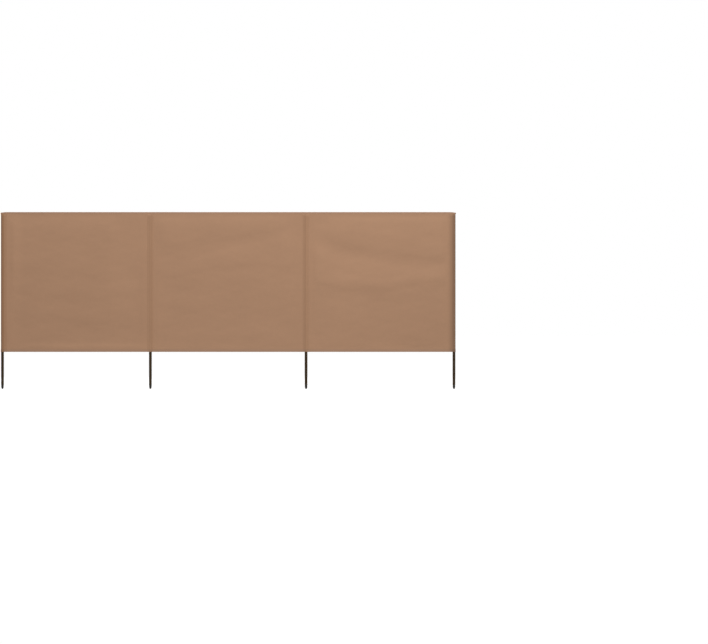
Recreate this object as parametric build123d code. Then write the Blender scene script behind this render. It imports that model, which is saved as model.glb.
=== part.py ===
from build123d import *
from math import acos, atan2, cos, hypot, sin
import os

# A beach windbreak: one long cloth screen in three bays, held up by four steel poles
# that stand in pockets sewn into the cloth and leave their lower ends bare for the sand.
# +X runs along the screen, -Y is its front, +Z is up, and all lengths are millimetres.
# The origin is on the blunt foot of pole 2, which belongs to the fixed middle bay.

# Bays, from one pole's axis to the next
side_bay = 1296.0
middle_bay = 1364.0

# Heights
bare_leg = 324.0
cloth_height = 1225.0
top_hem_height = 15.0
bottom_hem_height = 25.0
pole_below_edge = 32.0

# Poles and their tips
pole_diameter = 25.0
pole_wall = 0.8
tip_length = 36.0
tip_collar = 3.0
tip_body_diameter = 22.0
tip_taper = 16.0
tip_foot_diameter = 14.0
tip_plug_length = 60.0
tip_plug_rib = 3.0
plug_clearance = 0.1

# Cloth, sewn pockets and hems, the top one gathered to stand out a little past the sleeves
cloth = 1.0
hem_layers = 3
pocket_slack = 0.3
seam_reach = 35.0
seam_lap = 8.0
hem_overhang = 3.0
crease = 0.1

# Clearances of cloth from what it turns or rests against
turning_gap = 0.3
sewn_gap = 0.3
pole_top_gap = 0.5

# Worked out from the sizes above
pole_radius = pole_diameter / 2
cloth_bottom = bare_leg
cloth_top = bare_leg + cloth_height
bottom_hem_top = cloth_bottom + bottom_hem_height
top_hem_bottom = cloth_top - top_hem_height
pole_top = cloth_top - pole_below_edge
pocket_inside = pole_radius + pocket_slack
pocket_outside = pocket_inside + cloth
hem = hem_layers * cloth
hem_ring_outside = pocket_inside + hem
hem_end = pocket_outside + hem_overhang
pocket_shoulder = pole_top + pole_top_gap
pole_places = {1: -side_bay, 2: 0.0, 3: middle_bay, 4: middle_bay + side_bay}


def block(left, right, front, back, bottom, top):
    """A box between six planes."""
    plan = Pos((left + right) / 2, (front + back) / 2) * Rectangle(right - left, back - front)
    return Pos(0, 0, bottom) * extrude(plan, top - bottom)


def tangent_point(radius, centre, end, side):
    """Where a tangent from the point end meets a circle round (centre, 0), on its side +1 or -1."""
    away = end[0] - centre, side * end[1]
    turn = atan2(away[1], away[0]) + acos(radius / hypot(*away))
    return centre + radius * cos(turn), side * radius * sin(turn)


def drop(radius, centre, tail):
    """A drop-shaped plan: an arc round (centre, 0), and tangents to the first and last tail points."""
    lower = tangent_point(radius, centre, tail[0], -1)
    upper = tangent_point(radius, centre, tail[-1], 1)
    arc = ThreePointArc(upper, (centre - radius, 0), lower)
    return Face(Wire([arc, *Polyline(lower, *tail, upper).edges()]))


def flat_tail(left, right, front, back):
    """The tail of a drop that goes on as a flat strip."""
    return [(left, front), (right, front), (right, back), (left, back)]


def tent(low_plan, high_plan, bottom, top):
    """The cloth over the pole's end: one plan drawn into another by straight lines."""
    return loft([Pos(0, 0, bottom) * low_plan, Pos(0, 0, top) * high_plan], ruled=True)


# The middle bay's top hem ends in a corner that the side bays' cloth turns round
hem_corner = hypot(pocket_outside, hem - cloth)


def pole():
    """A plain steel tube."""
    length = pole_top - tip_length
    ring = Circle(pole_radius) - Circle(pole_radius - pole_wall)
    return Pos(0, 0, tip_length) * extrude(ring, length)


def pole_tip():
    """A moulded tip: blunt foot, taper, slim body, a collar under the tube and a ribbed plug in it."""
    body_radius = tip_body_diameter / 2
    collar_bottom = tip_length - tip_collar
    profile = Polyline(
        (0, 0),
        (tip_foot_diameter / 2, 0),
        (body_radius, tip_taper),
        (body_radius, collar_bottom),
        (pole_radius, collar_bottom),
        (pole_radius, tip_length),
        (0, tip_length),
        close=True,
    )
    body = revolve(Plane.XZ * make_face(profile), Axis.Z)
    cross = Rectangle(pole_diameter, tip_plug_rib) + Rectangle(tip_plug_rib, pole_diameter)
    plug = extrude(cross & Circle(pole_radius - pole_wall - plug_clearance), tip_plug_length)
    return body + Pos(0, 0, tip_length) * plug


def end_sleeve():
    """The cloth folded back round an end pole and sewn to itself, closed above the pole's end.

    Its seam is towards +X. The section is a drop, and over the pole it flattens to two layers.
    """
    seam = [(seam_reach, 0)]
    lap = flat_tail(seam_reach, seam_reach + seam_lap, -cloth, cloth)
    outer = drop(pocket_outside, 0, lap)
    inner = drop(pocket_inside, 0, seam)
    flat_outer = drop(cloth, cloth - hem_end, lap)
    flat_inner = drop(crease, cloth - hem_end, seam)
    body = Pos(0, 0, bottom_hem_top) * extrude(outer - inner, pocket_shoulder - bottom_hem_top)
    top = tent(outer, flat_outer, pocket_shoulder, top_hem_bottom)
    top -= tent(inner, flat_inner, pocket_shoulder, top_hem_bottom)
    return body + top


def middle_pocket():
    """The round pocket of a middle pole, drawn flat above the pole's end."""
    outer = Circle(pocket_outside)
    inner = Circle(pocket_inside)
    flat_outer = Ellipse(pocket_outside, cloth)
    flat_inner = Ellipse(pocket_inside, crease)
    body = Pos(0, 0, bottom_hem_top) * extrude(outer - inner, pocket_shoulder - bottom_hem_top)
    top = tent(outer, flat_outer, pocket_shoulder, top_hem_bottom)
    top -= tent(inner, flat_inner, pocket_shoulder, top_hem_bottom)
    return body + top


def panel(left, right):
    """One layer of cloth, flush with the front of the hems."""
    return block(left, right, -cloth, 0, bottom_hem_top, top_hem_bottom)


def top_hem(left, right):
    """The cloth's top edge, folded to the back."""
    return block(left, right, -cloth, hem - cloth, top_hem_bottom, cloth_top)


def bottom_hem(left, right):
    """The cloth's bottom edge, folded to the back."""
    return block(left, right, -cloth, hem - cloth, cloth_bottom, bottom_hem_top)


def hem_round(outer, inner):
    """The bottom hem where it goes round a pole, open below for the pole to slide in."""
    return Pos(0, 0, cloth_bottom) * extrude(outer - inner, bottom_hem_height)


def side_bay_pieces():
    """The left bay's cloth, with its end pole's axis at X = 0 and pole 2's at X = side_bay."""
    lap_end = seam_reach + seam_lap
    lap = flat_tail(seam_reach, lap_end, -cloth, hem - cloth)
    turning_x = side_bay - turning_gap
    return {
        "sleeve": end_sleeve(),
        "sleeve_hem": hem_round(drop(hem_ring_outside, 0, lap), drop(pocket_inside, 0, [(seam_reach, 0)])),
        "panel": panel(lap_end, turning_x - pocket_outside),
        "top_hem": top_hem(-hem_end, turning_x - hem_corner),
        "bottom_hem": bottom_hem(lap_end, turning_x - hem_ring_outside),
    }


def middle_bay_pieces():
    """The middle bay's cloth, with pole 2's axis at X = 0 and pole 3's at X = middle_bay."""
    panel_edge = pocket_outside + sewn_gap
    hem_edge = hem_ring_outside + sewn_gap
    return {
        "panel": panel(panel_edge, middle_bay - panel_edge),
        "top_hem": top_hem(-pocket_outside, middle_bay + pocket_outside),
        "bottom_hem": bottom_hem(hem_edge, middle_bay - hem_edge),
    }


nodes = {}
for number, x in pole_places.items():
    nodes[f"pole_{number}"] = Pos(x) * pole()
    nodes[f"pole_{number}_tip"] = Pos(x) * pole_tip()
for number in (2, 3):
    pocket_hem = hem_round(Circle(hem_ring_outside), Circle(pocket_inside))
    nodes[f"pole_{number}_pocket"] = Pos(pole_places[number]) * middle_pocket()
    nodes[f"pole_{number}_pocket_hem"] = Pos(pole_places[number]) * pocket_hem
for name, piece in middle_bay_pieces().items():
    nodes[f"middle_{name}"] = piece
for name, piece in side_bay_pieces().items():
    nodes[f"left_{name}"] = Pos(pole_places[1]) * piece
    nodes[f"right_{name}"] = Pos(pole_places[4]) * mirror(piece, Plane.YZ)

os.makedirs("parts", exist_ok=True)
for name, piece in nodes.items():
    export_step(piece, f"parts/{name}.step")
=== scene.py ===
# %% [markdown]
# # Dressing a beach windbreak
#
# The solids that this lesson starts from are a rigid stand-in: flat layers, round pockets
# and straight hems. The real object is one long length of woven cloth, pulled tight between
# four thin poles, so almost everything that the eye reads is cloth. We keep the frame's
# sizes, hide its soft solids behind sheets that we work out with numpy, and give the poles
# and their tips, whose shapes are right already, better finishes.

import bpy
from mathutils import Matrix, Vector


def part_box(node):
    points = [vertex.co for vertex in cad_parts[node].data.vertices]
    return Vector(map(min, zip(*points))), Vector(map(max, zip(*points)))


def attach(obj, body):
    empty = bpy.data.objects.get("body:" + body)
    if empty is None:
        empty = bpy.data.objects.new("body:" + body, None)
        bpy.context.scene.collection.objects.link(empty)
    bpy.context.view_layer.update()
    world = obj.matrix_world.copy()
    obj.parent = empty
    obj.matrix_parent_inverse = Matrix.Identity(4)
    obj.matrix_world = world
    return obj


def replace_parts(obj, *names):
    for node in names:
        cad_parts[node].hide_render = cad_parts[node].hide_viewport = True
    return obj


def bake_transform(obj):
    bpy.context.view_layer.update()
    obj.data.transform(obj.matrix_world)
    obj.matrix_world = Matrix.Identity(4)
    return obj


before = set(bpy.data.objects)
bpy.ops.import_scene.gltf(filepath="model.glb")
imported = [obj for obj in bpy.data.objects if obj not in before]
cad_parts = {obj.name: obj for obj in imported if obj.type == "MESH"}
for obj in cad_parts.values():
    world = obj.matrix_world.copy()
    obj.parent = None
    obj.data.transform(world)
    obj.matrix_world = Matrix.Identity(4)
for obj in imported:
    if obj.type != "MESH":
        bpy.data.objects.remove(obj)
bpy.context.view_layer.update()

from math import acos, pi, radians

import bpy
import numpy as np
from mathutils import Vector

# %% [markdown]
# ## Sizes come from the frame
#
# A dressed piece has to sit exactly where its solid sits. Typing the sizes in again would
# let the two drift apart, so we ask the frame where its poles, panels and hems are. Only the
# things that the stand-in leaves out, such as how wide a sewn pocket lies, are chosen here.

# %% Read the poles, the panels and the hems
def middle(node, axis):
    """Halfway between a node's lowest and highest corner, along one axis."""
    low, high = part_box(node)
    return (low[axis] + high[axis]) / 2


pole_x = {number: middle(f"pole_{number}", 0) for number in (1, 2, 3, 4)}
pole_radius = (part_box("pole_2")[1].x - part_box("pole_2")[0].x) / 2
pole_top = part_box("pole_2")[1].z
cloth_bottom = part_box("middle_bottom_hem")[0].z
bottom_hem_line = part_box("middle_bottom_hem")[1].z
top_hem_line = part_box("middle_top_hem")[0].z
cloth_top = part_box("middle_top_hem")[1].z
side_bay = pole_x[2] - pole_x[1]
hem_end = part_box("left_top_hem")[0].x - pole_x[1]
lap_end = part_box("left_sleeve")[1].x - pole_x[1]
print("poles stand at x =", {n: round(x, 4) for n, x in pole_x.items()})
print(f"cloth from z = {cloth_bottom:.3f} to {cloth_top:.3f}")
print(f"the hems' inner edges at {bottom_hem_line:.3f} and {top_hem_line:.3f}")

# %% Choose what the stand-in leaves out
cloth_thickness = 0.0004
cloth_round = pole_radius + 0.0008      # the cloth's middle where it goes round a pole
hem_round = pole_radius + 0.0013        # the same for the thicker bottom hem
front_face = -0.0005                    # the middle of the front layer where it is flat
lap_back = 0.0003                       # the middle of the lap behind an end sleeve
strip_back = 0.0004                     # the middle of the strip behind a middle pole
seam_margin = 0.008                     # flat cloth beyond a seam, for its stitches
sleeve_seam = lap_end - seam_margin     # where an end sleeve is sewn down, from its pole
pocket_seam = 0.030                     # half the width of a middle pole's pocket
strip_edge = 0.038                      # half the width of the strip sewn on behind it
tent_foot = pole_top + 0.0005           # above this the cloth closes over the pole's end
stitch_pitch = 0.0035
seam_inset = 0.004                      # from the cloth's edge to the stitches down a seam
hem_inset = 0.003                       # from a hem's inner edge to the stitches along it
print(f"seams {sleeve_seam * 1000:.0f} mm from an end pole and {pocket_seam * 1000:.0f} mm from a middle one")

# %% [markdown]
# ## The picture before the pieces
#
# A camera that is far away and has a long lens sees a flat screen almost without
# perspective, as in a catalogue picture. The whole picture is 6.2 m wide at the screen, and
# the screen fills its left two thirds, so the camera stands to the right of the screen's
# middle and looks straight ahead. The picture is 708 pixels wide and 644 high.

# %% Place the camera
picture_width = 6.2035
picture_middle = 1.784, 0.586
camera_distance = 40.0
camera = bpy.data.objects.new("camera", bpy.data.cameras.new("camera"))
camera.data.sensor_width = 36.0
camera.data.lens = camera.data.sensor_width * camera_distance / picture_width
camera.data.clip_end = 400.0
camera.location = (picture_middle[0], -camera_distance, picture_middle[1])
camera.rotation_euler = (radians(90), 0, 0)
bpy.context.scene.collection.objects.link(camera)
bpy.context.scene.camera = camera
print(f"lens {camera.data.lens:.0f} mm at {camera_distance:.0f} m")

# %% [markdown]
# ## Shader sums that read as sums
#
# A procedural finish is mostly arithmetic, and arithmetic drawn as boxes and wires is hard
# to read back. So one small class, `Strand`, holds a socket and turns + - * into Math nodes,
# and `Finish` makes a material and adds any other node from its type, its settings and the
# values of its sockets. Python works out what is only numbers.

# %% Strand
class Strand:
    """A socket that carries one number, with the usual operators."""

    def __init__(self, finish, socket):
        self.finish, self.socket = finish, socket

    def math(self, operation, first, second=0.0):
        return self.finish.node("ShaderNodeMath", {"operation": operation}, [first, second])

    def __add__(self, other):
        return self.math("ADD", self, other)

    def __sub__(self, other):
        return self.math("SUBTRACT", self, other)

    def __rsub__(self, other):
        return self.math("SUBTRACT", other, self)

    def __mul__(self, other):
        return self.math("MULTIPLY", self, other)

    def clamp(self):
        return self.math("MINIMUM", self.math("MAXIMUM", self, 0.0), 1.0)

    def sine(self):
        return self.math("SINE", self)

    __radd__, __rmul__ = __add__, __mul__


print("a Strand adds, subtracts, multiplies, clamps and takes sines")

# %% Finish
class Finish:
    """A material made of nodes, with one principled shader at its end."""

    def __init__(self, name, **fixed):
        self.material = bpy.data.materials.new(name)
        self.material.use_nodes = True
        self.tree = self.material.node_tree
        self.shader = self.tree.nodes["Principled BSDF"]
        self.set(self.shader, fixed)

    def set(self, node, values):
        """Values or strands for a node's sockets, by name or in order."""
        pairs = values.items() if isinstance(values, dict) else enumerate(values)
        for key, value in pairs:
            if isinstance(value, Strand):
                self.tree.links.new(value.socket, node.inputs[key])
            else:
                node.inputs[key].default_value = value

    def node(self, kind, settings, values, output=0):
        """A node of one kind, with its settings and then its sockets, as a strand of one output."""
        node = self.tree.nodes.new(kind)
        for name, value in settings.items():
            setattr(node, name, value)
        self.set(node, values)
        return Strand(self, node.outputs[output])

    def end(self, **values):
        """Strands that change over the surface, into the shader's sockets."""
        self.set(self.shader, {name.replace("_", " "): value for name, value in values.items()})
        return self.material

    def place(self, source, scale):
        """Places in metres, along the cloth or in the object's own axes, stretched by scale."""
        if source == "cloth":
            where = self.node("ShaderNodeUVMap", {"uv_map": "cloth"}, [], "UV")
        else:
            where = self.node("ShaderNodeTexCoord", {}, [], "Object")
        return self.node("ShaderNodeVectorMath", {"operation": "MULTIPLY"}, [where, scale])

    def noise(self, source, scale, detail=2.0, roughness=0.5):
        """Cloudy numbers round 0.5, with scale clouds to the metre."""
        where = self.place(source, scale)
        values = {"Vector": where, "Scale": 1.0, "Detail": detail, "Roughness": roughness}
        return self.node("ShaderNodeTexNoise", {}, values, "Fac")

    def split(self, where, axis):
        return self.node("ShaderNodeSeparateXYZ", {}, [where], axis)

    def attribute(self, name):
        return self.node("ShaderNodeAttribute", {"attribute_name": name}, [], "Fac")

    def mix(self, share, first, second):
        """Colours mixed by share, which is 0 for the first."""
        return self.node("ShaderNodeMix", {"data_type": "RGBA"}, {0: share, 6: first, 7: second}, 2)

    def scaled(self, colour, amount):
        """A colour made lighter or darker by a number that changes."""
        start = colour if isinstance(colour, Strand) else colour[:3]
        return self.node("ShaderNodeVectorMath", {"operation": "SCALE"}, {0: start, "Scale": amount})

    def bump(self, height, strength, distance):
        values = {"Strength": strength, "Distance": distance, "Height": height}
        return self.node("ShaderNodeBump", {}, values, "Normal")


print("Finish is ready")

# %% [markdown]
# ## Woven cloth
#
# The screen is plain-woven polyester: threads that go over and under each other, matt, a
# little fuzzy at a glancing angle, never one flat colour. Up close the product of two sine
# waves, one along each thread direction, gives the over-and-under as bump. Long thin noise
# gives threads that took the dye unevenly, and wide soft noise the clouds of a large cloth.
# Two attributes come from the shape, and both are painted light and shade: `tone` deepens
# the colour towards a warm brown where the cloth is drawn over a dark pole, as painted shade,
# and `shade` darkens it evenly as painted shade, or makes it lighter where it is below zero,
# as painted light.

# %% Cloth, hem and thread finishes
cloth_colour = (0.408, 0.234, 0.140, 1.0)
hem_colour = (0.400, 0.236, 0.150, 1.0)
thread_colour = (0.44, 0.27, 0.175, 1.0)
# The colour of the painted shade over a pole, as a share of the cloth's colour
warm_shade = (0.72, 0.67, 0.59, 1.0)
thread_pitch = 0.0006


def woven(name, colour, strength):
    """Plain weave in one colour, with uneven threads, soft clouds and the two attributes."""
    finish = Finish(name, **{"Sheen Weight": 0.08, "Sheen Roughness": 0.5, "Specular IOR Level": 0.25})
    turns = 2 * pi / thread_pitch
    threads = finish.place("cloth", (turns, turns, 0))
    over_under = finish.split(threads, "X").sine() * finish.split(threads, "Y").sine()
    warp = finish.noise("cloth", (1400, 22, 0))
    weft = finish.noise("cloth", (22, 1400, 0))
    clouds = finish.noise("cloth", (3.1, 4.3, 0), detail=4.0)
    patches = finish.noise("cloth", (26, 34, 0), detail=3.0)
    dye = 0.865 + warp * 0.05 + weft * 0.05 + clouds * 0.10 + patches * 0.07
    # Painted shade and painted light from the shade and tone attributes
    amount = dye * (1.0 - finish.attribute("shade"))
    warm = tuple(part * share for part, share in zip(colour, warm_shade))
    shaded = finish.mix(finish.attribute("tone"), colour, warm)
    height = over_under * 0.5 + warp * 0.35 + weft * 0.35
    return finish.end(
        Base_Color=finish.scaled(shaded, amount),
        Roughness=0.74 + patches * 0.12 + warp * 0.06,
        Normal=finish.bump(height, strength, 0.00012),
    )


screen_cloth = woven("screen_cloth", cloth_colour, 0.8)
hem_cloth = woven("hem_cloth", hem_colour, 0.9)


def spun():
    """Sewing thread: two plies that run round it at a slant."""
    finish = Finish("sewing_thread", **{"Sheen Weight": 0.15, "Specular IOR Level": 0.35})
    slant = finish.split(finish.place("cloth", (9000, 0, 0)), "X")
    round_it = finish.split(finish.place("cloth", (0, 4 * pi, 0)), "Y")
    plies = (slant + round_it).sine()
    dye = finish.noise("cloth", (60, 2, 0))
    return finish.end(
        Base_Color=finish.scaled(finish.mix(dye, thread_colour, hem_colour), 0.94 + plies * 0.06),
        Roughness=0.55 + plies * 0.08,
        Normal=finish.bump(plies, 0.5, 0.00008),
    )


sewing_thread = spun()
print("cloth, hem and thread finishes made")

# %% [markdown]
# ## Coated steel and moulded plastic
#
# The poles are steel tube with a thin dark brown powder coat. Such a coat has a faint
# orange-peel surface, is a little duller in some places than in others, and gets fine upright
# scratches where it is pushed into sand and pulled out. The tips are nearly black plastic,
# scuffed at the foot. Both read Object coordinates, because a lathe-turned shape has no
# cloth to follow, and they stay still on the piece when it moves.

# %% Pole and tip finishes
pole_colour = (0.036, 0.020, 0.007, 1.0)
sand_colour = (0.30, 0.24, 0.17, 1.0)
tip_colour = (0.013, 0.012, 0.010, 1.0)


def powder_coat():
    """Orange peel as bump, cloudy dullness, and sandy scratches that fade out 0.3 m up the leg."""
    finish = Finish("pole_coating", **{"Specular IOR Level": 0.14})
    peel = finish.noise("object", (900, 900, 900), detail=1.0)
    dull = finish.noise("object", (14, 14, 9), detail=3.0)
    scratch = finish.noise("object", (1500, 1500, 12), detail=3.0)
    low = (1.0 - finish.split(finish.place("object", (1, 1, 3.4)), "Z")).clamp()
    worn = ((scratch - 0.60) * 9.0).clamp() * low * 0.45
    return finish.end(
        Base_Color=finish.mix(worn, finish.scaled(pole_colour, 0.80 + dull * 0.4), sand_colour),
        Roughness=0.42 + dull * 0.16 + worn * 0.3,
        Normal=finish.bump(peel + worn * -0.8, 0.35, 0.00006),
    )


def moulded():
    """Fine grain as bump, and sandy scuffs that are thickest at the foot."""
    finish = Finish("tip_plastic", **{"Specular IOR Level": 0.3})
    grain = finish.noise("object", (2200, 2200, 2200), detail=2.0)
    scuff = finish.noise("object", (420, 420, 70), detail=4.0, roughness=0.65)
    low = (1.0 - finish.split(finish.place("object", (1, 1, 26)), "Z")).clamp()
    scuffed = ((scuff - 0.54) * 5.0).clamp() * (0.15 + low * 0.6)
    return finish.end(
        Base_Color=finish.mix(scuffed * 0.38, tip_colour, sand_colour),
        Roughness=0.52 + grain * 0.10 + scuffed * 0.2,
        Normal=finish.bump(grain + scuffed * 0.6, 0.4, 0.00008),
    )


pole_coating, tip_plastic = powder_coat(), moulded()
for number in pole_x:
    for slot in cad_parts[f"pole_{number}"].material_slots:
        slot.material = pole_coating
    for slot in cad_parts[f"pole_{number}_tip"].material_slots:
        slot.material = tip_plastic
print("four poles and four tips have their finishes")

# %% [markdown]
# ## Turning grids into meshes
#
# Every new piece is a grid: one direction follows the cloth's length, the other its height
# or the way round a hem. The faces of a grid are its neighbouring indices, so two helpers
# are enough, one for an open sheet and one for a closed band with capped ends. Both write a
# UV map named `cloth` that counts metres along and across the cloth, which the weave reads.

# %% Mesh helpers
def cells(grid):
    """The four corners of each cell of a grid, in an order that faces outwards."""
    corners = [grid[:-1, :-1], grid[:-1, 1:], grid[1:, 1:], grid[1:, :-1]]
    return np.stack(corners, -1).reshape(-1, 4)


def new_piece(name, points, faces, corner_uv, material, marks=None, turned=False):
    """An object from an array of points, faces and one UV pair for each face corner.

    marks are named numbers, one for each point, that the finish may read.
    """
    mesh = bpy.data.meshes.new(name)
    step = -1 if turned else 1
    mesh.from_pydata(points.reshape(-1, 3).tolist(), [], [list(face)[::step] for face in faces])
    flat = np.concatenate([np.asarray(face)[::step] for face in corner_uv]).astype(np.float32)
    mesh.uv_layers.new(name="cloth").data.foreach_set("uv", flat.ravel())
    for mark, values in (marks or {}).items():
        attribute = mesh.attributes.new(mark, "FLOAT", "POINT")
        attribute.data.foreach_set("value", values.astype(np.float32).ravel())
    mesh.shade_smooth()
    mesh.materials.append(material)
    mesh.update()
    piece = bpy.data.objects.new(name, mesh)
    bpy.context.scene.collection.objects.link(piece)
    print(name, len(mesh.polygons), "faces")
    return piece


def thicken(piece):
    """Real cloth has two faces and an edge."""
    solid = piece.modifiers.new("thickness", "SOLIDIFY")
    solid.thickness, solid.offset = cloth_thickness, 0.0
    return piece


def open_sheet(name, points, along, up, marks=None, turned=False):
    """A sheet from a grid of points. along and up are metres on the cloth for each point."""
    index = np.arange(along.size).reshape(along.shape)
    corner_uv = np.stack([cells(along), cells(up)], -1)
    return new_piece(name, points, cells(index), corner_uv, screen_cloth, marks, turned)


def closed_band(name, points, along, across, marks=None, turned=False):
    """A closed band: the grid's first direction goes round and meets itself, and the ends are capped."""
    index = np.arange(points.shape[0] * points.shape[1]).reshape(points.shape[:2])
    wrapped = np.vstack([index, index[:1]])
    corner_uv = list(np.stack([cells(along), cells(across)], -1))
    caps = [index[:, 0], index[::-1, -1]]
    cap_uv = [np.stack([along[:-1, 0], across[:-1, 0]], -1)] * 2
    faces = [*cells(wrapped).tolist(), *[cap.tolist() for cap in caps]]
    piece = new_piece(name, points, faces, corner_uv + cap_uv, hem_cloth, marks, turned)
    piece.data.set_sharp_from_angle(angle=radians(60))
    return piece


print("mesh helpers ready")

# %% [markdown]
# ## The line of the cloth, seen from above
#
# Seen from above a tight cloth is straight lines and arcs: straight from seam to seam, and
# round each pole at the pole's radius, with a tangent line between the two. The end of the
# cloth goes right round its pole and back to the seam, which gives a drop shape. We write
# such a line as points, walk along it, and round its corners with a bell-shaped average,
# because cloth has no knife-sharp corners.

# %% Lines seen from above
arc_points = 60


def arc(centre, radius, start, stop):
    """Points on a circle, from one angle to another."""
    angle = np.linspace(start, stop, arc_points)
    return np.stack([centre + radius * np.cos(angle), radius * np.sin(angle)], -1)


def walked(line):
    """How far along a line each of its points is."""
    return np.concatenate([[0.0], np.cumsum(np.hypot(*np.diff(line, axis=0).T))])


def on_line(distance, steps, points):
    """Points at any distances along a line, whose own points are at these steps."""
    return np.stack([np.interp(distance, steps, points[:, axis]) for axis in (0, 1)], -1)


def bell(x, reach):
    """A bell curve, 1 at 0."""
    return np.exp(-0.5 * (x / reach) ** 2)


def softened(line, reach=0.0012, grain=0.00025, half=24):
    """The line at even steps with its corners rounded, and the distance of each step.

    Each point is the mean of its surroundings, weighted by a bell curve of that reach.
    """
    distance = walked(line)
    even = np.arange(0, distance[-1] + grain / 2, grain)
    weights = bell(np.arange(-half, half + 1) * grain, reach)
    weights /= weights.sum()
    columns = on_line(even, distance, line).T
    padded = [np.pad(column, half, "reflect", reflect_type="odd") for column in columns]
    return even, np.stack([np.convolve(column, weights, "valid") for column in padded], -1)


def side_line(radius, back):
    """A side bay's cloth from the lap behind its end sleeve to the far seam of the middle pole's pocket.

    The end pole is at 0 and the middle pole at side_bay. Returns distances, points and the
    distances of five knots: the lap's edge, the sleeve's fold, its seam and the pocket's two seams.
    """
    turn, fold = acos(radius / sleeve_seam), acos(radius / pocket_seam)
    parts = [
        [(lap_end, back), (sleeve_seam, back)],
        arc(0.0, radius, turn, 2 * pi - turn),
        [(sleeve_seam, front_face), (side_bay - pocket_seam, front_face)],
        arc(side_bay, radius, pi + fold, 2 * pi - fold),
        [(side_bay + pocket_seam, front_face)],
    ]
    distance = walked(np.vstack(parts))
    fold_point, seam_point = 2 + arc_points // 2, 2 + arc_points
    knots = distance[[0, fold_point, seam_point, seam_point + 1, -1]]
    return *softened(np.vstack(parts)), knots


def strip_line(radius, back):
    """The strip behind a middle pole, from left to right, as its front layer runs but behind the pole."""
    fold = acos(radius / pocket_seam)
    parts = [
        [(-strip_edge, back), (-pocket_seam, back)],
        arc(0.0, radius, pi - fold, fold),
        [(pocket_seam, back), (strip_edge, back)],
    ]
    return softened(np.vstack(parts))


side_distance, side_points, side_knots = side_line(cloth_round, lap_back)
print("a side bay's cloth is", round(side_knots[-1], 4), "m long; knots at", np.round(side_knots, 4).tolist())

# %% [markdown]
# ## Slack, folds and puckers
#
# Even a tight screen is never flat. Light from above picks out long lazy folds: a slope that
# faces up is a little lighter, one that faces down a little darker. So each fold here is a
# soft step in depth along a slanting line, given by the points it passes, its half width and
# its slope. A straight line is taken off each step so that the hems stay where they are.
# Short puckers run along the sewn edges, where the thread gathers the cloth.

# %% The folds of the three bays
folds = [
    # points the fold passes, half width, slope: light when positive
    ([(-1.26, 1.465), (-0.90, 1.470), (-0.60, 1.480), (-0.30, 1.485)], 0.052, 0.100),
    ([(-1.20, 1.245), (-0.90, 1.310), (-0.50, 1.290)], 0.040, -0.033),
    ([(-0.60, 1.420), (-0.30, 1.400)], 0.030, 0.028),
    ([(-1.26, 1.165), (-0.75, 1.140)], 0.042, 0.045),
    ([(-1.22, 1.060), (-0.75, 1.010), (-0.25, 0.975)], 0.045, -0.046),
    ([(-0.60, 0.905), (-0.12, 0.915)], 0.040, 0.036),
    ([(-1.22, 0.870), (-0.90, 0.810), (-0.65, 0.790)], 0.045, -0.060),
    ([(-1.10, 0.720), (-0.40, 0.700)], 0.040, 0.026),
    ([(-1.24, 0.640), (-0.80, 0.610), (-0.45, 0.580), (-0.20, 0.560)], 0.050, -0.065),
    ([(-0.60, 0.450), (-0.08, 0.470)], 0.040, 0.036),
    ([(-1.15, 0.385), (-0.05, 0.385)], 0.026, 0.110),
    ([(0.08, 1.480), (0.70, 1.490), (1.20, 1.490)], 0.040, 0.095),
    ([(0.10, 1.245), (0.45, 1.285), (0.75, 1.325), (1.12, 1.395)], 0.045, -0.100),
    ([(0.35, 1.120), (0.70, 1.215), (0.95, 1.285), (1.25, 1.375)], 0.042, 0.085),
    ([(0.12, 0.980), (0.35, 1.010), (0.62, 1.070), (0.95, 1.085), (1.28, 1.060)], 0.028, -0.060),
    ([(0.25, 0.955), (0.70, 0.950), (1.22, 0.925)], 0.055, -0.045),
    ([(0.20, 0.700), (0.80, 0.690), (1.25, 0.720)], 0.060, -0.029),
    ([(0.12, 0.510), (0.70, 0.500), (1.25, 0.520)], 0.035, 0.026),
    ([(1.55, 1.490), (1.95, 1.488), (2.62, 1.488)], 0.032, 0.150),
    ([(1.42, 1.440), (1.85, 1.405), (2.25, 1.370)], 0.042, 0.080),
    ([(1.52, 1.320), (1.70, 1.265), (1.95, 1.205), (2.60, 1.120)], 0.034, -0.105),
    ([(1.40, 1.235), (1.62, 1.165), (1.85, 1.115), (2.05, 1.07), (2.34, 1.02), (2.60, 1.03)], 0.050, 0.115),
    ([(1.60, 1.000), (1.90, 0.955), (2.10, 0.955), (2.28, 0.990)], 0.036, 0.105),
    ([(1.45, 0.930), (1.75, 0.870), (2.00, 0.860), (2.22, 0.920), (2.60, 0.935)], 0.030, -0.095),
    ([(1.62, 0.760), (1.90, 0.770)], 0.060, 0.039),
    ([(2.15, 0.440), (2.62, 0.420)], 0.045, -0.060),
    # short ones that fan out from the right sleeve
    ([(2.36, 1.370), (2.64, 1.330)], 0.022, -0.090),
    ([(2.42, 1.262), (2.64, 1.266)], 0.018, 0.060),
    ([(2.50, 1.165), (2.64, 1.160)], 0.020, -0.040),
    ([(2.48, 0.830), (2.64, 0.820)], 0.022, 0.070),
]
fold_fade = 0.16            # over which a fold fades out at each end
pole_margin = 0.075         # beside a pole's seam, where the cloth is still tight
hem_margin = 0.05           # and beside a hem
gather_margin = 0.004       # within which the puckers fade into a hem
print(len(folds), "folds")

# %% The cloth's depth from folds, ripples and puckers
def eased(share):
    """0 before 0, 1 after 1, and a smooth climb between."""
    share = np.clip(share, 0, 1)
    return share * share * (3 - 2 * share)


def between_hems(z, margin):
    """1 in the open cloth, and down to 0 at the two hems over a margin."""
    return eased((z - bottom_hem_line) / margin) * eased((top_hem_line - z) / margin)


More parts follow.
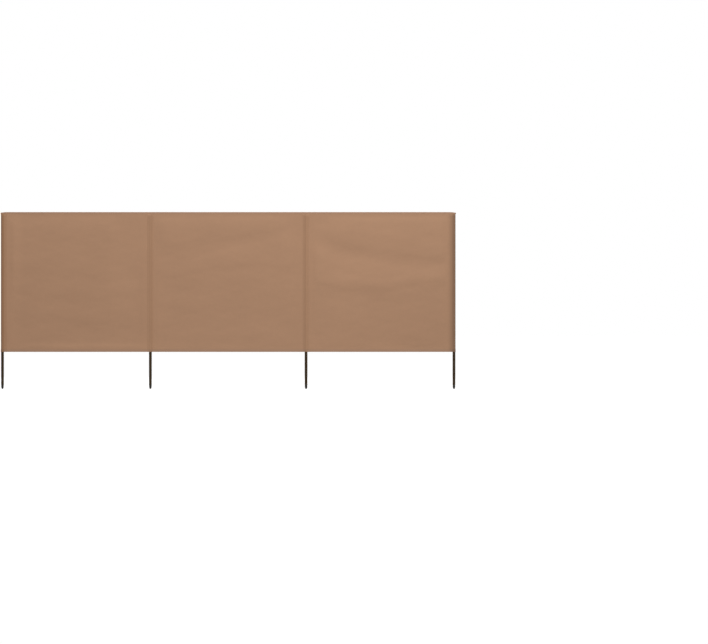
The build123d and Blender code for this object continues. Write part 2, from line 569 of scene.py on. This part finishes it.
def slack(x, z):
    """How far the cloth stands forward of its plane, for places across and up.

    The sum of all folds. A fold of slope b and half width w round the height c is
    b w times (a straight line in z, minus tanh((z - c) / w)), faded at its two ends.
    """
    total = np.zeros(np.broadcast(x, z).shape)
    share = (z - bottom_hem_line) / (top_hem_line - bottom_hem_line)
    for points, width, slope in folds:
        across, height = np.array(points).T
        centre = np.interp(x, across, height)
        low = np.tanh((bottom_hem_line - centre) / width)
        high = np.tanh((top_hem_line - centre) / width)
        step = low + (high - low) * share - np.tanh((z - centre) / width)
        fade = eased((x - across[0]) / fold_fade + 0.5) * eased((across[-1] - x) / fold_fade + 0.5)
        total += slope * width * step * fade
    return total


def ripple(x, z, share=0.0016):
    """Faint irregular waves: sines that cross at angles, with seeded directions and starts.

    share is a wave's depth as a share of its length.
    """
    dice = np.random.default_rng(7)
    total = np.zeros(np.broadcast(x, z).shape)
    for length in (0.31, 0.22, 0.16, 0.12, 0.09, 0.07):
        lean, start = dice.uniform(-0.5, 0.5), dice.uniform(0, 2 * pi)
        turn = 2 * pi / length * (z + lean * x) + start + 2.0 * np.sin(3 * x + start)
        total += length * share * np.sin(turn)
    return total


def pucker(along, away, depth=0.00035, pitch=0.017, reach=0.014):
    """Short waves of drifting pitch along a sewn edge, which die out with the distance from it."""
    drift = 1.7 * np.sin(along * 23.0) + 0.9 * np.sin(along * 61.0)
    return depth * np.sin(2 * pi * along / pitch + drift) * np.exp(-np.abs(away) / reach)


def from_end(x):
    """How far inside the nearer end pole a place is."""
    return np.minimum(x - pole_x[1], pole_x[4] - x)


def flat_share(x):
    """1 in the open cloth of a bay, 0 at its poles."""
    from_middle = np.minimum(np.abs(x - pole_x[2]), np.abs(x - pole_x[3]))
    return eased((from_middle - pocket_seam) / pole_margin) * eased((from_end(x) - sleeve_seam) / pole_margin)


def forward(x, z):
    """All of the cloth's depth together, 0 at the poles and at the hems."""
    waves = (slack(x, z) + ripple(x, z)) * between_hems(z, hem_margin)
    gathers = pucker(x, z - bottom_hem_line) + pucker(x + 0.4, top_hem_line - z)
    return flat_share(x) * (waves + gathers * between_hems(z, gather_margin))


sample = forward(np.linspace(-1.25, 2.6, 400)[None, :], np.linspace(0.33, 1.54, 200)[:, None])
print(f"the cloth stands {sample.max() * 1000:.1f} mm forward and {-sample.min() * 1000:.1f} mm back at most")

# %% [markdown]
# ## Closing over a pole and drooping at the corner
#
# Above a pole the round pocket has to become two flat layers. The line seen from above is
# worked out twice, round and flat, and the cloth goes from one to the other between the
# pole's end and the hem. Its depth does so all the way, but the sleeve's edge stays upright
# until just under the hem, whose end stands out a little. With no pole under it, that
# corner of the hem droops.

# %% The side bays' surface
under_hem = 0.003           # height over which the sleeve widens to the hem
ridge_height = 0.0009       # of the bell curve over the edge of the layer under the cloth
ridge_place = 0.001         # its middle, past the sleeve's seam
ridge_reach = 0.0022


def flat_line(distance, hairpin=0.002):
    """The same cloth lying flat above the poles: a hairpin at the sleeve's fold, then straight."""
    across = [lap_end, hem_end, sleeve_seam, side_bay - pocket_seam, side_bay + pocket_seam]
    x = np.interp(distance, side_knots, across)
    y = lap_back + (front_face - lap_back) * eased((distance - side_knots[1]) / hairpin + 0.5)
    return np.stack([x, y], -1)


def closing(z):
    """0 up to a pole's end and 1 at the top hem: how flat the cloth is drawn."""
    return eased((z - tent_foot) / (top_hem_line - tent_foot))


def droop(x, z, start=0.050, depth=0.006):
    """How far the top edge hangs down at a distance x from the end pole: most at the tip and the top."""
    out = np.clip((start - x) / (start - hem_end), 0, 1)
    return depth * out ** 2.4 * np.clip((z - top_hem_line) / (cloth_top - top_hem_line), 0, 1)


ends = {"left": (pole_x[1], 1), "right": (pole_x[4], -1)}


def side_surface(distance, z, end):
    """Points of a side bay's cloth for distances along it and heights.

    The round line, blended into the flat one, and brought forward by the slack and by a bell
    curve beside the sleeve's seam, the ridge over the edge of the layer under the cloth.
    """
    start, way = ends[end]
    rolled = on_line(distance, side_distance, side_points)
    flat = flat_line(distance)
    widening = eased((z - top_hem_line) / under_hem + 1)
    x = rolled[..., 0] + (flat[..., 0] - rolled[..., 0]) * widening
    y = rolled[..., 1] + (flat[..., 1] - rolled[..., 1]) * closing(z)
    ridge = ridge_height * bell(distance - side_knots[2] - ridge_place, ridge_reach)
    world = start + way * x
    outer = distance > side_knots[1]
    y = y - np.where(outer, forward(world, z) + ridge * between_hems(z, under_hem), 0.0)
    return np.stack([world, y, z - droop(x, z)], -1)


print("droop at the hem's tip:", round(float(droop(np.array(hem_end), np.array(cloth_top))) * 1000, 1), "mm")

# %% [markdown]
# ## Painted shade and light
#
# Cloth over a pole is painted darker than open cloth, as painted shade: where the pole blocks
# the light through the thin cloth, and where the cloth closes over its end. Beside a middle
# pole's dark line a lighter one is painted, as painted light. The open cloth has painted
# patches of shade and light too. All of these are numbers for each point, which the finish reads.

# %% Marks at the poles
def over_pole(x, z, shown=0.32, end_shade=0.16, reach=0.012):
    """Painted shade over a middle pole, x from its axis: up to its top, and more where the cloth closes over
    its end.
    """
    rib = bell(x, reach)
    return {
        "tone": shown * rib * eased((pole_top - z) / 0.02 + 0.5),
        "shade": end_shade * rib * bell(z - tent_foot - 0.009, 0.006),
    }


# Painted shade at the two end sleeves, by distance from the pole: the left one is warmer,
# with painted light just beside it, the right one darker
sleeve_places = [-0.012, 0.008, 0.016, 0.026, 0.034, 0.037, 0.046, 0.060, 0.110, 0.190]
sleeve_marks = {
    "left": {
        "tone": [1.0, 1.0, 0.45, 0.38, 0.33, 0.06, 0.0, 0.0, 0.0, 0.0],
        "shade": [0.0, 0.0, 0.0, 0.0, 0.0, -0.01, -0.03, -0.045, -0.045, 0.0],
    },
    "right": {"shade": [0.41, 0.41, 0.25, 0.17, 0.13, 0.10, 0.05, 0.0, 0.0, 0.0]},
}
# The light and the tight cloth put a rib's painted dark line off its pole's axis, and its two
# sides get painted light and painted shade
rib_shift = {"left": 0.008, "right": 0.0}
rib_sides = {
    # place from the middle pole, away from the end pole, reach and shade
    "left": [(-0.017, 0.009, -0.062), (0.010, 0.008, 0.034)],
    "right": [(0.007, 0.004, 0.034), (-0.005, 0.004, -0.040)],
}
print("marks at", len(sleeve_places), "places from an end pole")

# %% Patches in the open cloth, and all marks together
# Painted shade on the bottom hems
hem_shade = 0.06
# Painted shade over all of the middle bay's cloth
middle_shade = 0.010
# Painted shade and painted light: soft patches where the open cloth is darker or lighter
patches = [
    # place across and up, half width, half height, amount: darker when positive
    (-0.95, 1.410, 0.20, 0.100, -0.020),
    (-1.19, 0.500, 0.05, 0.200, 0.028),
    (-0.30, 0.370, 0.30, 0.022, -0.030),
    (0.24, 1.500, 0.20, 0.035, -0.022),
    (0.20, 0.380, 0.14, 0.025, -0.040),
    (0.45, 0.680, 0.14, 0.110, 0.014),
    (1.14, 0.700, 0.14, 0.070, 0.016),
    (1.80, 1.050, 0.20, 0.060, -0.030),
    (1.50, 0.740, 0.08, 0.080, 0.024),
    (1.48, 1.120, 0.06, 0.050, -0.026),
    (2.30, 1.430, 0.32, 0.085, -0.026),
    (2.42, 0.970, 0.08, 0.040, -0.026),
    (2.35, 0.800, 0.18, 0.090, 0.034),
    (2.42, 0.560, 0.22, 0.110, 0.036),
]


def patch_shade(x, z):
    """How much painted shade or painted light the open cloth has: each patch is a bell curve across times one
    upwards.
    """
    return sum(
        amount * bell(x - across, wide) * bell(z - up, high)
        for across, up, wide, high, amount in patches
    )


def side_marks(distance, z, end, even_shade=0.0):
    """A side bay's painted shade and light: at its end sleeve, over its middle pole and in the open, and an
    even painted shade all over.
    """
    x = np.interp(distance, side_distance, side_points[:, 0])
    start, way = ends[end]
    marks = over_pole(x - side_bay - rib_shift[end], z)
    for mark, amounts in sleeve_marks[end].items():
        marks[mark] = marks[mark] + np.interp(x, sleeve_places, amounts)
    for place, reach, amount in rib_sides[end]:
        marks["shade"] = marks["shade"] + amount * bell(x - side_bay - place, reach)
    marks["shade"] = marks["shade"] + patch_shade(start + way * x, z) + even_shade
    return marks


print(len(patches), "patches in the open cloth")

# %% [markdown]
# ## The three lengths of the screen
#
# The cloth is one length, but its side bays fold about the two middle poles. The cut is
# under a line of stitches, where nobody looks for one. Rows and columns are close together
# where the cloth bends and far apart where it is nearly flat, and the first and last are
# very narrow, so that the rounded shading of the cloth's edge stays at the edge.

# %% Heights and columns of the grids
def runs(*plan):
    """Stations in one array, from places with the number of even steps between each two."""
    places, steps = plan[::2], plan[1::2]
    spans = zip(places, places[1:], steps)
    return np.unique(np.concatenate([np.linspace(start, stop, count + 1) for start, stop, count in spans]))


rim = 0.0006                # a sheet stops this far inside the outer edge of its hem
edge = 0.0004               # width of a sheet's first and last step
heights = runs(
    cloth_bottom + rim, 1,
    cloth_bottom + rim + edge, 3,
    bottom_hem_line, 7,
    bottom_hem_line + 0.03, 126,
    tent_foot - 0.03, 6,
    tent_foot, 8,
    top_hem_line - 0.004, 4,
    top_hem_line, 4,
    cloth_top - rim - edge, 1,
    cloth_top - rim,
)
fold_at, seam_at, pocket_at, far_seam = side_knots[1:]
columns = runs(
    0.0, 1,
    edge, 4,
    seam_margin, 8,
    fold_at - 0.024, 34,
    fold_at + 0.024, 8,
    seam_at - 0.004, 16,
    seam_at + 0.008, 104,
    pocket_at - 0.006, 42,
    far_seam - edge, 1,
    far_seam,
)
print(len(heights), "rows,", len(columns), "columns in a side bay")

# %% Side lengths
along, up = np.meshgrid(columns, heights)
joints = {"left": ("left_bay", pole_x[2], -1), "right": ("right_bay", pole_x[3], 1)}


def carry(piece, end, reach=0.020):
    """Middle pieces ride on the middle bay. Side ones only get their place baked into the mesh."""
    if end == "middle":
        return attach(piece, "middle_bay")
    body, pole, away = joints[end]
    start, stop = (pole + away * reach, 0, 0), (pole - away * reach, 0, 0)
    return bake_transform(piece)


for end in ("left", "right"):
    points, marks = side_surface(along, up, end), side_marks(along, up, end)
    cloth = thicken(open_sheet(f"{end}_cloth", points, along, up, marks, turned=end == "right"))
    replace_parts(cloth, f"{end}_panel", f"{end}_sleeve")
    carry(cloth, end)

# %% Middle length
inner = pole_x[2] + pocket_seam, pole_x[3] - pocket_seam    # where the cloth is cut
across = runs(inner[0], 1, inner[0] + edge, 112, inner[1] - edge, 1, inner[1])


def middle_surface(x, z):
    """The middle bay's cloth: its plane, brought forward by the slack."""
    return np.stack([x, front_face - forward(x, z), z], -1)


x, z = np.meshgrid(across, heights)
# Painted shade and painted light over the middle bay's cloth
worn = {"shade": patch_shade(x, z) + middle_shade}
middle_cloth = thicken(open_sheet("middle_cloth", middle_surface(x, z), x, z, worn))
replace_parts(middle_cloth, "middle_panel")
carry(middle_cloth, "middle")

# %% [markdown]
# ## The pockets behind the middle poles
#
# From the front a middle pole is only a soft rib, because the pocket's second layer is a
# strip sewn on behind. It runs from one seam over the back of the pole to the other seam,
# with 8 mm of flat margin on each side for the stitches, and it closes over the pole's end
# as the front layer does.

# %% Strips behind poles 2 and 3
middle_poles = {"left": 2, "right": 3}
strip_distance, strip_points = strip_line(cloth_round, strip_back)
strip_length = strip_distance[-1]
strip_columns = runs(
    0.0, 1,
    edge, 3,
    seam_margin, 34,
    strip_length - seam_margin, 3,
    strip_length - edge, 1,
    strip_length,
)


def strip_surface(distance, z, pole):
    """The strip's points: its line seen from above, drawn flat over the pole's end."""
    rolled = on_line(distance, strip_distance, strip_points)
    flattened = (strip_back - rolled[..., 1]) * closing(z)
    y = rolled[..., 1] + flattened + pucker(z, distance - seam_inset) * 0.5
    return np.stack([pole_x[pole] + rolled[..., 0], y, z], -1)


for end, pole in middle_poles.items():
    along, up = np.meshgrid(strip_columns, heights)
    marks = over_pole(along - strip_length / 2, up)
    strip = open_sheet(f"pole_{pole}_strip", strip_surface(along, up, pole), along, up, marks, turned=True)
    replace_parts(thicken(strip), f"pole_{pole}_pocket")
    carry(strip, end)

# %% [markdown]
# ## Hems
#
# A hem is cloth folded on itself, so it is thicker than the sheet, has a round fold at the
# outer edge and is sewn down along the inner one. Its section is a rounded rectangle, which
# a superellipse gives in one formula, and it is carried along the same line as the cloth.
# The section gets thinner over the last millimetres, so that the hem ends in a roll and not
# in a cut.

# %% Sections and bands
section = np.linspace(0, 2 * pi, 20, endpoint=False)
hem_end_step = 0.003        # at a band's two ends, where it may be rolled


def rounded_section(half_thickness, half_height, power=0.45):
    """A superellipse: cosine and sine raised to a power below 1, with their signs."""
    waves = np.cos(section), np.sin(section)
    across, up = [np.sign(wave) * np.abs(wave) ** power for wave in waves]
    return (across * half_thickness)[:, None], (up * half_height)[:, None]


def roll_off(distance, length, first, last, reach=0.0025):
    """1 along a band and falling to 0.35 as a quarter circle at an end that shows."""
    near = np.where(first, distance, reach), np.where(last, length - distance, reach)
    share = np.clip(np.minimum(*near) / reach, 0, 1)
    return 0.35 + 0.65 * np.sqrt(1 - (1 - share) ** 2)


def band(
    name, line, normal, z_middle, halves, distance,
    marks=None, turned=False, ends_rolled=(True, True), lift=None,
):
    """A closed band: a section carried along a line, outwards along its normal and upwards.

    halves are half the band's thickness and half its height, which shrinks less at a rolled end.
    """
    out, rise = rounded_section(*halves)
    size = roll_off(distance, distance[-1], *ends_rolled)[None, :]
    x = line[None, :, 0] + normal[None, :, 0] * out * size
    y = line[None, :, 1] + normal[None, :, 1] * out * size
    z = z_middle + rise * (0.75 + 0.25 * size) + np.zeros_like(x)
    if lift is not None:
        x, y, z = lift(x, y, z)
    girth = np.linspace(0, 4 * sum(halves), len(section) + 1)[:, None]
    lengthwise = np.broadcast_to(distance[None, :], (len(section) + 1, len(distance)))
    across = np.broadcast_to(girth, lengthwise.shape)
    marks = {mark: np.broadcast_to(values, x.shape) for mark, values in (marks or {}).items()}
    return closed_band(name, np.stack([x, y, z], -1), lengthwise, across, marks, turned)


def outward(line):
    """Unit normals of a line seen from above, to the right of its direction."""
    step = np.gradient(line, axis=0)
    step /= np.hypot(*step.T)[:, None]
    return np.stack([step[:, 1], -step[:, 0]], -1)


print("a hem's section has", len(section), "points")

# %% Top hem
top_middle, top_half = (top_hem_line + cloth_top) / 2, (cloth_top - top_hem_line) / 2
top_thick = 0.0016          # half the top hem's thickness
top_y = 0.0004              # the middle of its depth
near_pole = 0.06            # where its stations are closer together
tip_shade, tip_reach = 0.30, 0.0045
spans = {
    "left": (pole_x[1] + hem_end, inner[0]),
    "middle": inner,
    "right": (inner[1], pole_x[4] - hem_end),
}


def top_lift(x, y, z, depth=0.00025):
    """Droop at the screen's two ends, and a faint waviness where thread gathers the hem."""
    wave = depth * np.sin(x * 97 + 2.0 * np.sin(x * 13)) * eased((from_end(x) - 0.05) / 0.1)
    return x, y + wave, z - droop(from_end(x), z) + wave * 0.6


for end, (start, stop) in spans.items():
    first, last = end == "left", end == "right"
    x = runs(
        start, 6 if first else 1,
        start + hem_end_step, 14,
        start + near_pole, 200,
        stop - near_pole, 14,
        stop - hem_end_step, 6 if last else 1,
        stop,
    )
    line = np.stack([x, np.full_like(x, top_y)], -1)
    marks = {"shade": tip_shade * bell(from_end(x) - hem_end, tip_reach)}
    hem = band(
        f"{end}_top_edge", line, outward(line), top_middle, (top_thick, top_half), x - start,
        marks, ends_rolled=(first, last), lift=top_lift,
    )
    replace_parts(hem, f"{end}_top_hem")
    carry(hem, end)

# %% Bottom hem
low_middle, low_half = (cloth_bottom + bottom_hem_line) / 2, (bottom_hem_line - cloth_bottom) / 2
low_thick = 0.0009          # half the bottom hem's thickness
low_back = 0.0015           # the middle of its lap behind an end pole
low_distance, low_points, low_knots = side_line(hem_round, low_back)
low_columns = runs(
    0.0, 5,
    hem_end_step, 12,
    low_knots[1] - 0.026, 40,
    low_knots[1] + 0.026, 14,
    low_knots[2] + 0.01, 170,
    low_knots[3] - 0.006, 44,
    low_knots[4],
)
low_line = on_line(low_columns, low_distance, low_points)      # with its end pole at 0
for end, (start, way) in ends.items():
    mirror = [way, 1]
    line, normal = low_line * mirror + [start, 0], outward(low_line) * mirror
    # Painted shade on the side bottom hems, with the bay's other painted marks
    marks = side_marks(low_columns, low_middle, end, even_shade=hem_shade)
    hem = band(
        f"{end}_bottom_edge", line, normal, low_middle, (low_thick, low_half), low_columns,
        marks, turned=end == "right", ends_rolled=(True, False),
    )
    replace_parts(hem, f"{end}_bottom_hem", f"{end}_sleeve_hem")
    carry(hem, end)
x = runs(inner[0], 1, inner[0] + hem_end_step, 200, inner[1] - hem_end_step, 1, inner[1])
line = np.stack([x, np.full_like(x, front_face)], -1)
# Painted shade on the middle bottom hem
hem = band(
    "middle_bottom_edge", line, outward(line), low_middle, (low_thick, low_half), x - x[0],
    {"shade": np.full_like(x, hem_shade)}, ends_rolled=(False, False),
)
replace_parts(hem, "middle_bottom_hem")
carry(hem, "middle")

# %% Bottom hems of the two strips
strip_thick = 0.0008        # half a strip's hem's thickness
strip_low_back = 0.0016     # the middle of its depth where it is flat
strip_low_distance, strip_low_points = strip_line(hem_round, strip_low_back)
strip_low_length = strip_low_distance[-1]
for end, pole in middle_poles.items():
    distance = runs(0.0, 5, hem_end_step, 48, strip_low_length - hem_end_step, 5, strip_low_length)
    line = on_line(distance, strip_low_distance, strip_low_points)
    normal = outward(line)
    line[:, 0] += pole_x[pole]
    hem = band(f"pole_{pole}_strip_edge", line, normal, low_middle, (strip_thick, low_half), distance)
    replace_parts(hem, f"pole_{pole}_pocket_hem")
    carry(hem, end)

# %% [markdown]
# ## Stitches
#
# A lockstitch is a row of short bars of thread, each sunk into the cloth at both ends. One
# bar is a ring of five points at four places with a point at either end, forty small
# triangles, and thousands of bars are one array: every bar's points are its centre plus the
# bar's own points turned into its three directions.

# %% One bar of thread, and many of them
def thread_bar(length=0.0026, radius=0.00026):
    """Points and faces of one bar: circles that narrow to its two ends, along the first axis."""
    place = np.array([-0.36, -0.14, 0.14, 0.36]) * length
    thick = np.array([0.75, 1.0, 1.0, 0.75]) * radius
    angle = np.arange(5) * 2 * pi / 5
    rings = np.stack([
        np.broadcast_to(place[:, None], (4, 5)),
        thick[:, None] * np.cos(angle),
        thick[:, None] * np.sin(angle),
    ], -1).reshape(-1, 3)
    tips = np.array([(-0.5 * length, 0, -radius), (0.5 * length, 0, -radius)])
    ring, after = np.arange(5), (np.arange(5) + 1) % 5
    sides = [np.stack([ring + k, after + k, after + k + 5, ring + k + 5], -1)[:, ::-1] for k in (0, 5, 10)]
    caps = np.stack([ring, after, np.full(5, 20)], -1), np.stack([after + 15, ring + 15, np.full(5, 21)], -1)
    return np.vstack([rings, tips]), np.vstack(sides), np.vstack(caps)


bar_points, bar_sides, bar_caps = thread_bar()


def stitches(name, centre, direction, out):
    """Bars of thread at these centres, along these directions, lying on a surface that faces out."""
    side = np.cross(out, direction)
    axes = np.stack([direction, side, out], 1)
    points = centre[:, None, :] + np.einsum("pk,nkc->npc", bar_points, axes)
    shift = (np.arange(len(centre)) * len(bar_points))[:, None, None]
    faces = [*(bar_sides + shift).reshape(-1, 4).tolist(), *(bar_caps + shift).reshape(-1, 3).tolist()]
    turn = np.arctan2(bar_points[:, 1:2], bar_points[:, 2:]) / (2 * pi)
    place = np.concatenate([bar_points[:, :1], turn], -1)
    one = [place[corner] for corner in bar_sides], [place[corner] for corner in bar_caps]
    corner_uv = [*(one[0] * len(centre)), *(one[1] * len(centre))]
    return new_piece(name, points, faces, corner_uv, sewing_thread)


print("one bar has", len(bar_sides) * 2 + len(bar_caps), "triangles")

# %% Where rows of stitches run
def spread(start, stop):
    """Even places from start to stop, one stitch apart."""
    return np.arange(start + stitch_pitch / 2, stop, stitch_pitch)


def slopes(surface, first, second, tiny=0.0004):
    """Two directions and the outward normal of a surface, from small steps either way along it."""
    along_first = surface(first + tiny, second) - surface(first - tiny, second)
    along_second = surface(first, second + tiny) - surface(first, second - tiny)
    out = np.cross(along_first, along_second)
    return [v / np.linalg.norm(v, axis=-1, keepdims=True) for v in (along_first, along_second, out)]


def rows(*parts):
    """Several rows in one: centres, directions and outward normals, each joined."""
    return [np.concatenate(part) for part in zip(*parts)]


def straight_row(x, y, z, way):
    """A row along the screen at one depth and height, on the side that way says."""
    centre = np.stack(np.broadcast_arrays(x, y, z), -1).astype(float)
    direction = np.broadcast_to([1.0, 0.0, 0.0], centre.shape)
    return centre, direction, np.broadcast_to([0.0, float(way), 0.0], centre.shape)


print("a stitch every", stitch_pitch * 1000, "mm")

# %% Rows on the top hem
row_end = 0.002             # a row starts and stops this far inside the cloth's end
top_rows = {}
for end, (start, stop) in spans.items():
    x = spread(start + row_end * (end == "left"), stop - row_end * (end == "right"))
    z = np.full_like(x, top_hem_line + hem_inset)
    faces = [straight_row(*top_lift(x, top_y + way * top_thick, z), way) for way in (-1, 1)]
    top_rows[end] = rows(*faces)
print("top hem rows in", ", ".join(top_rows), "bays")

# %% Rows on the bottom hem
stitch_line = bottom_hem_line - hem_inset
# The outer row, worked out with its end pole at 0 and then mirrored to each end
local = on_line(spread(row_end, low_knots[4]), low_distance, low_points)
facing = outward(local)
tangent = np.stack([-facing[:, 1], facing[:, 0]], -1)
seen_from_above = (local + facing * low_thick, stitch_line), (tangent, 0.0), (facing, 0.0)
centre, direction, out = [np.insert(flat, 2, height, axis=1) for flat, height in seen_from_above]
bottom_rows = {}
for end, (start, way) in ends.items():
    mirror = [way, 1, 1]
    outside = centre * mirror + [start, 0, 0], direction * mirror, out * mirror
    x = start + way * spread(lap_end + row_end, side_bay - strip_edge - row_end)
    bottom_rows[end] = rows(outside, straight_row(x, front_face + low_thick, stitch_line, 1))
x = spread(*inner)
behind = x[(x > inner[0] + 0.010) & (x < inner[1] - 0.010)]
bottom_rows["middle"] = rows(
    straight_row(x, front_face - low_thick, stitch_line, -1),
    straight_row(behind, front_face + low_thick, stitch_line, 1),
)
print("bottom hem rows in", ", ".join(bottom_rows), "bays")

# %% Rows down the seams
levels = spread(bottom_hem_line + 0.001, top_hem_line - 0.001)
skin = cloth_thickness / 2


def upright_row(surface, distance, turned=False):
    """A row up a surface at one distance along it, on its outer face."""
    place = np.full_like(levels, distance)
    _, direction, out = slopes(surface, place, levels)
    out = -out if turned else out
    return surface(place, levels) + out * skin, direction, out


def of_place(surface, place):
    """A side bay's or a strip's surface with its end or its pole filled in."""
    return lambda distance, z: surface(distance, z, place)


seam_rows = {}
for end, pole in middle_poles.items():
    bay, strip = of_place(side_surface, end), of_place(strip_surface, pole)
    on_bay = [upright_row(bay, place, end == "right") for place in
              (seam_at + seam_inset, seam_inset, pocket_at - seam_inset)]
    on_strip = [upright_row(strip, place, True) for place in (seam_inset, strip_length - seam_inset)]
    seam_rows[end] = rows(*on_bay, *on_strip)
at_seams = inner[0] + seam_inset, inner[1] - seam_inset
seam_rows["middle"] = rows(*[upright_row(middle_surface, place) for place in at_seams])
for end in ("left", "middle", "right"):
    parts = {"top": top_rows[end], "bottom": bottom_rows[end], "seam": seam_rows[end]}
    made = [stitches(f"{end}_{name}_stitches", *part) for name, part in parts.items()]
    [carry(piece, end) for piece in made]

# %% [markdown]
# ## The lengths of the cloth
#
# A rigid model keeps no trace of the flat cloth that it was cut from. So the lengths that
# the side and middle sheets were cut to are printed.

inner[1] - inner[0]
print("side length", round(float(side_knots[-1]), 3), "m, middle length", round(inner[1] - inner[0], 3), "m")

# %% [markdown]
# ## A white studio
#
# The picture's background is plain white. The floor is pale and glows a little, so that it
# is as white as the air behind it, and only a faint shade is left under the screen. The sky
# that lights the object is brighter above than below, which is what shows the folds. A large
# lamp high up in front makes the poles' ribs readable, and a weaker one lights the back.

# %% Floor
half_floor = 150.0
corners = [(x * half_floor, y * half_floor, 0) for x, y in ((-1, -1), (1, -1), (1, 1), (-1, 1))]
floor_mesh = bpy.data.meshes.new("floor")
floor_mesh.from_pydata(corners, [], [(0, 1, 2, 3)])
floor = bpy.data.objects.new("floor", floor_mesh)
bpy.context.scene.collection.objects.link(floor)
pale = Finish("pale_floor", **{
    "Base Color": (0.82, 0.82, 0.82, 1.0),
    "Roughness": 1.0,
    "Specular IOR Level": 0.0,
    "Emission Color": (1.0, 1.0, 1.0, 1.0),
    "Emission Strength": 0.48,
})
floor_mesh.materials.append(pale.end())
floor.visible_diffuse = False
print("floor", 2 * half_floor, "m wide")

# %% Sky and lamps
scene = bpy.context.scene
scene.view_settings.view_transform = "Standard"
world = bpy.data.worlds.new("studio")
scene.world = world
world.use_nodes = True
tree = world.node_tree
tree.nodes.clear()
toward, height, climb, seen, pick, sky, out = [
    tree.nodes.new("ShaderNode" + kind)
    for kind in ("TexCoord", "SeparateXYZ", "MapRange", "LightPath", "Mix", "Background", "OutputWorld")
]
tree.links.new(toward.outputs["Generated"], height.inputs[0])
tree.links.new(height.outputs["Z"], climb.inputs["Value"])
# Strength of the sky straight below and straight above
for name, value in {"From Min": -1.0, "From Max": 1.0, "To Min": 0.22, "To Max": 0.74}.items():
    climb.inputs[name].default_value = value
tree.links.new(seen.outputs["Is Camera Ray"], pick.inputs[0])
tree.links.new(climb.outputs[0], pick.inputs[2])
pick.inputs[3].default_value = 1.0
sky.inputs["Color"].default_value = (1.0, 1.0, 1.0, 1.0)
tree.links.new(pick.outputs[0], sky.inputs["Strength"])
tree.links.new(sky.outputs[0], out.inputs["Surface"])

screen_middle = Vector((0.9, 0.0, 0.9))


def soft_lamp(name, place, energy, width):
    """A square lamp that looks at the middle of the screen."""
    lamp = bpy.data.objects.new(name, bpy.data.lights.new(name, "AREA"))
    lamp.data.shape, lamp.data.size, lamp.data.energy = "SQUARE", width, energy
    lamp.location, lamp.rotation_mode = place, "QUATERNION"
    lamp.rotation_quaternion = (Vector(place) - screen_middle).to_track_quat("Z", "Y")
    scene.collection.objects.link(lamp)
    print(name, energy, "W")


soft_lamp("front_lamp", (2.1, -6.5, 4.8), 310.0, 2.8)
soft_lamp("back_lamp", (-1.5, 7.0, 4.5), 120.0, 3.5)
